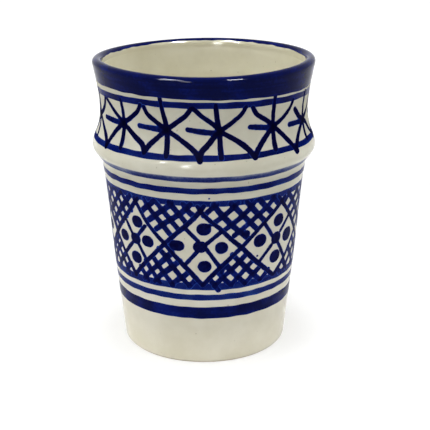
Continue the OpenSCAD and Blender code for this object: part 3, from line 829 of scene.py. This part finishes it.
# Hatch strokes of the panels at the front, above and below each corner
FRONT_HATCHING = [
    [[(-53, 59.2), (-45, 53.9)], [(-60.3, 59), (-55.3, 55.5), (-49.6, 51.2)],
     [(-68.5, 59), (-59.9, 52.9), (-54, 48.8)], [(-76, 59), (-64.8, 50.3), (-58.5, 46.3)],
     [(-44.8, 59.2), (-51, 55.4), (-60, 50.3), (-67, 46.3)],
     [(-53.5, 59.2), (-59.6, 55.7), (-64.2, 53), (-72, 49)], [(-63, 59.2), (-76, 52)],
     [(-83.5, 59.2), (-73, 51.8), (-63.5, 44.8)], [(-72.5, 59.2), (-81.3, 54.3)],
     [(-81, 59.2), (-85.4, 56.8)]],
    [[(-67.5, 40.6), (-60.7, 36), (-52.6, 29.8)], [(-72.5, 38), (-65.6, 33.4), (-61.3, 29.8)],
     [(-77, 35.5), (-70.5, 29.8)], [(-58.3, 39.8), (-65.4, 36.4), (-75, 29.8)],
     [(-54.5, 36.8), (-61, 33.4), (-66.2, 29.8)], [(-50, 33.7), (-52.2, 32.7), (-56.2, 29.8)],
     [(-62.3, 42), (-73, 36), (-83.5, 29.8)], [(-81.5, 33.2), (-77.6, 29.8)]],
    [[(-34.5, 59.2), (-32.3, 57.1), (-27.8, 54), (-23.5, 51.1), (-18.8, 47.8)],
     [(-27, 59.2), (-22.8, 56.3), (-13.4, 49.6)], [(-18.8, 59.3), (-13.3, 55.4), (-9.3, 52.4)],
     [(-10.8, 59.2), (-9, 57.4), (-5, 54.8)], [(-28, 59.2), (-30.2, 57.9), (-34.8, 55.6), (-36.8, 54.4)],
     [(-17.4, 59.2), (-20.4, 57.4), (-25.4, 55.1), (-32, 52)],
     [(-6.8, 59.2), (-11.3, 56.4), (-15.9, 54.2), (-21.1, 52.1), (-27.4, 49.3)]],
    [[(-26.6, 42.2), (-24.1, 40.9), (-15.7, 34.5), (-8.3, 29.6)], [(-30.6, 38.6), (-26, 34.9), (-18.6, 29.5)],
     [(-36.4, 36.6), (-34.3, 35), (-27.2, 29.6)], [(-40.9, 33.9), (-35.5, 29.6)],
     [(-18.3, 41.5), (-24.8, 37.8), (-34.8, 32.4), (-39, 29.8)],
     [(-13.7, 38.8), (-21.2, 35), (-26.7, 32.4), (-31, 29.8)],
     [(-8.5, 35.1), (-10.4, 33.9), (-15.8, 31.5), (-19.7, 29.6)], [(-4.3, 32.3), (-8.5, 29.5)]],
    [[(5.3, 59.2), (8.4, 56.6), (18.2, 50.2), (25.8, 46.2)], [(15.1, 59.2), (24.5, 53.1), (31.6, 48.8)],
     [(24, 59.2), (29.9, 55.3), (36.6, 51.2)], [(32.4, 59.2), (34.8, 57.5), (42, 53.4)],
     [(41.2, 59.2), (47, 55.8)], [(7.2, 59.2), (2.9, 56.7), (0.3, 55.2)],
     [(19.1, 59.2), (14.2, 56.4), (8, 53.5), (5.2, 52.3)],
     [(30, 59.2), (24.8, 55.8), (13.1, 50.4), (11.1, 49.5)],
     [(43.3, 59.2), (39.7, 57.1), (29.7, 52.8), (17.8, 47.7)]],
    [[(16.8, 40.9), (23.8, 36.6), (28.6, 33.7), (36.2, 29.6)], [(13, 37.3), (18.3, 33.8), (25.7, 29.5)],
     [(8.7, 34.8), (13.6, 31.4), (17, 29.5)], [(4.2, 32), (6.3, 30.2), (8.9, 28.2)],
     [(25.7, 40.5), (19, 36.6), (9, 31.3), (6.6, 29.6)], [(30.7, 37.9), (23.3, 33.8), (17.4, 30.3)],
     [(36.4, 35), (33.7, 33.8), (25.8, 29.7)], [(42.4, 32.6), (36.8, 29.7)], [(11.6, 37), (10.7, 34.9)]],
    [[(54.6, 59.2), (63.8, 53.8), (76, 46.5)], [(65.2, 59.2), (77, 52.3), (81.2, 49.9)],
     [(58.3, 59.2), (51.5, 55.5)], [(69.4, 59.2), (64.1, 56.3), (56.3, 52.7)],
     [(79, 59), (69.3, 53.6), (60.6, 49.9)], [(88.5, 59.2), (77, 53.1), (65.2, 46.8)],
     [(74.5, 59.2), (85.7, 52.6)], [(83.5, 59.2), (90.1, 55.3)], [(91, 59.2), (93.8, 57.5)]],
    [[(74.5, 39.4), (63.5, 33), (58.3, 29.8)], [(80.3, 37.5), (67.8, 29.8)],
     [(67, 40.5), (74, 36), (83.5, 29.8)],
     [(62, 37.6), (68.5, 33.4), (73, 29.8)], [(56.3, 34), (62.6, 29.8)], [(51.6, 31.6), (53.5, 29.8)],
     [(85.5, 34.9), (77, 29.8)], [(90.2, 32.3), (86, 29.8)]],
]
hatch_paint = Brushwork(25, 64, 0.3)
rng = np.random.default_rng(12)


def hatch(corner, border, left, right):
    """Strokes that fill a triangle at the back, from its border to the two sides that meet in its corner."""
    even = np.linspace(left, right, HATCH_LINES + 2)[1:-1]
    start_z = border + (PAST_BORDER if border > corner[1] else -PAST_BORDER)
    strokes = []
    for far in (left, right):
        for start in even + rng.uniform(-0.8, 0.8, HATCH_LINES):
            share = abs(start - (left + right - far)) / (right - left)
            end = (corner[0] + share * (far - corner[0]), corner[1] + share * (border - corner[1]))
            bow = shaky(rng, (start + end[0]) / 2, (border + end[1]) / 2, 0.4, 0.2)
            strokes.append([(start, start_z), bow, end])
    return strokes


for k, panel in enumerate(panels):
    for stroke in FRONT_HATCHING[k] if k < len(FRONT_HATCHING) else hatch(*panel):
        first_w = HATCH_W * rng.uniform(0.95, 1.08)
        last_w = HATCH_W * rng.uniform(0.9, 1.04)
        hatch_paint.stroke(stroke, first_w, last_w, HATCH_INK)
# One blot and two flecks
hatch_paint.dab(24.4, 47.8, 3.5, 2.5, HATCH_INK)
hatch_paint.dab(3.2, 61.25, 0.7, 0.7)
hatch_paint.dab(33.1, 38.9, 0.95, 0.85)
hatch_paint.film("brushed_hatching", 0.03, lattice_blue, "lattice_hatching", 340)

# Table
# A plain table in white laminate, wide enough to fill the picture, that takes the mug's faint shadow.
# It glows a little, and more so away from the mug, so that it looks white all over.
TABLE_W = 6.0
GLOW_NEAR = 0.045
GLOW_FAR = 0.4


def seen(tree):
    """Is 1 where the camera looks, straight or by a mirror or through glass, and 0 for light on the mug."""
    rays = add(tree, "ShaderNodeLightPath", {}).outputs
    total = rays["Is Camera Ray"]
    for kind in ("Is Glossy Ray", "Is Transmission Ray"):
        total = add(tree, "ShaderNodeMath", {0: total, 1: rays[kind]}, operation="ADD").outputs[0]
    return total


# White laminate: matt, with a grain too faint to show, whose scale is counted across the whole table.
laminate = new_material("white_table")
tree = laminate.node_tree
spot = add(tree, "ShaderNodeTexCoord", {}).outputs["Object"]
grain = add(tree, "ShaderNodeTexNoise", {"Scale": TABLE_W * per(240), "Detail": 2.0})
white = add(tree, "ShaderNodeValToRGB", {"Fac": grain.outputs["Fac"]}, ((0.3, "#F2F2F0"), (0.7, "#F6F6F4")))
matte = add(tree, "ShaderNodeBsdfDiffuse", {"Color": white.outputs["Color"]})
apart = add(tree, "ShaderNodeVectorMath", {0: spot}, operation="LENGTH").outputs["Value"]
growth = add(tree, "ShaderNodeMapRange", {
    "Value": apart, "From Min": GLOW_NEAR, "From Max": GLOW_FAR, "To Min": 0.55, "To Max": 0.82})
glow = add(tree, "ShaderNodeEmission", {"Strength": growth.outputs["Result"]})
shade = add(tree, "ShaderNodeBsdfDiffuse", {"Color": linear("#B4B4B3")})
lit = add(tree, "ShaderNodeAddShader", {0: shade.outputs["BSDF"], 1: glow.outputs["Emission"]})
mix = add(tree, "ShaderNodeMixShader", {0: seen(tree), 1: matte.outputs["BSDF"], 2: lit.outputs["Shader"]})
add(tree, "ShaderNodeOutputMaterial", {"Surface": mix.outputs["Shader"]})
mesh = bpy.data.meshes.new("table")
half = TABLE_W / 2
mesh.from_pydata([(-half, -half, 0), (half, -half, 0), (half, half, 0), (-half, half, 0)], [], [[0, 1, 2, 3]])
mesh.materials.append(laminate)
table = bpy.data.objects.new("table", mesh)
bpy.context.scene.collection.objects.link(table)

# Light
# Six windows and skylights, behind and above the camera, only glint in the glaze.
# Wide panels at both sides, in front and behind, light the mug softly.
# Two beams from above brighten the table, which throws light back up at the foot.


def lamp(name, at, aim, width, height, power, beam=180, glints=False):
    """A rectangular lamp at a place in metres that faces a point, with its beam's full angle. It either
    lights the mug or only glints in its glaze."""
    light = bpy.data.lights.new(name, "AREA")
    light.shape = "RECTANGLE"
    light.size = width
    light.size_y = height
    light.spread = math.radians(beam)
    light.energy = power
    thing = bpy.data.objects.new(name, light)
    thing.location = at
    thing.rotation_euler = (Vector(at) - Vector(aim)).to_track_quat("Z", "Y").to_euler()
    thing.visible_camera = False
    thing.visible_glossy = glints
    thing.visible_diffuse = not glints
    bpy.context.scene.collection.objects.link(thing)


MIDDLE = (0, 0, 0.055)
lamp("left_window", (-0.628, -0.708, 0.38), MIDDLE, 0.075, 0.1, 6, glints=True)
lamp("left_high_window", (-0.38, -0.68, 0.56), MIDDLE, 0.22, 0.08, 9, glints=True)
lamp("left_skylight", (-0.395, -0.47, 0.713), MIDDLE, 0.25, 0.157, 35, glints=True)
lamp("right_skylight", (0.361, -0.497, 0.713), MIDDLE, 0.2, 0.157, 28, glints=True)
lamp("middle_window", (-0.287, -0.938, 0.205), MIDDLE, 0.155, 0.33, 9, glints=True)
lamp("right_window", (0.446, -0.688, 0.629), MIDDLE, 0.25, 0.08, 10, glints=True)
lamp("left_panel", (-0.85, -0.3, 0.85), MIDDLE, 0.7, 0.7, 4.35)
lamp("right_panel", (0.85, -0.3, 0.85), MIDDLE, 0.7, 0.7, 2.25)
lamp("left_rear_panel", (-0.95, 0.6, 0.2), MIDDLE, 0.6, 0.4, 3.75)
lamp("right_rear_panel", (0.95, 0.6, 0.5), MIDDLE, 0.6, 0.6, 3.1)
lamp("front_beam", (0, -0.3, 0.6), (0, -0.08, 0), 0.3, 0.3, 0.135, beam=60)
lamp("top_beam", (0, 0, 0.75), (0, 0, 0), 0.2, 0.2, 0.09, beam=25)

# The room is white where it is seen, and fills the shade with a dimmer light.
world = bpy.data.worlds.new("studio")
world.use_nodes = True
world.node_tree.nodes.clear()
tree = world.node_tree
fill = add(tree, "ShaderNodeBackground", {"Color": linear("#FFFFFF"), "Strength": 0.29})
room = add(tree, "ShaderNodeBackground", {"Color": linear("#FFFFFF"), "Strength": 1.0})
mix = add(tree, "ShaderNodeMixShader", {
    0: seen(tree), 1: fill.outputs["Background"], 2: room.outputs["Background"]})
add(tree, "ShaderNodeOutputWorld", {"Surface": mix.outputs["Shader"]})
bpy.context.scene.world = world
bpy.context.scene.view_settings.view_transform = "Standard"

# Camera
# A long lens about 60 mm higher than the lip and a little over a third of a metre away.
# Its place in metres, tilt in degrees and focal length in pixels are fitted to the outline and the bands.
IMAGE_PX = 430
FOCAL_PX = 1058
SENSOR = 36
CAMERA_AT = (0.00382, -0.3581, 0.1642)
LOOK_DOWN = 18.549
camera = bpy.data.objects.new("camera", bpy.data.cameras.new("camera"))
camera.data.sensor_width = SENSOR
camera.data.lens = SENSOR * FOCAL_PX / IMAGE_PX
camera.data.clip_start = 0.01
camera.location = CAMERA_AT
camera.rotation_euler = (math.radians(90 - LOOK_DOWN), 0, 0)
bpy.context.scene.collection.objects.link(camera)
bpy.context.scene.camera = camera

bpy.context.view_layer.update()
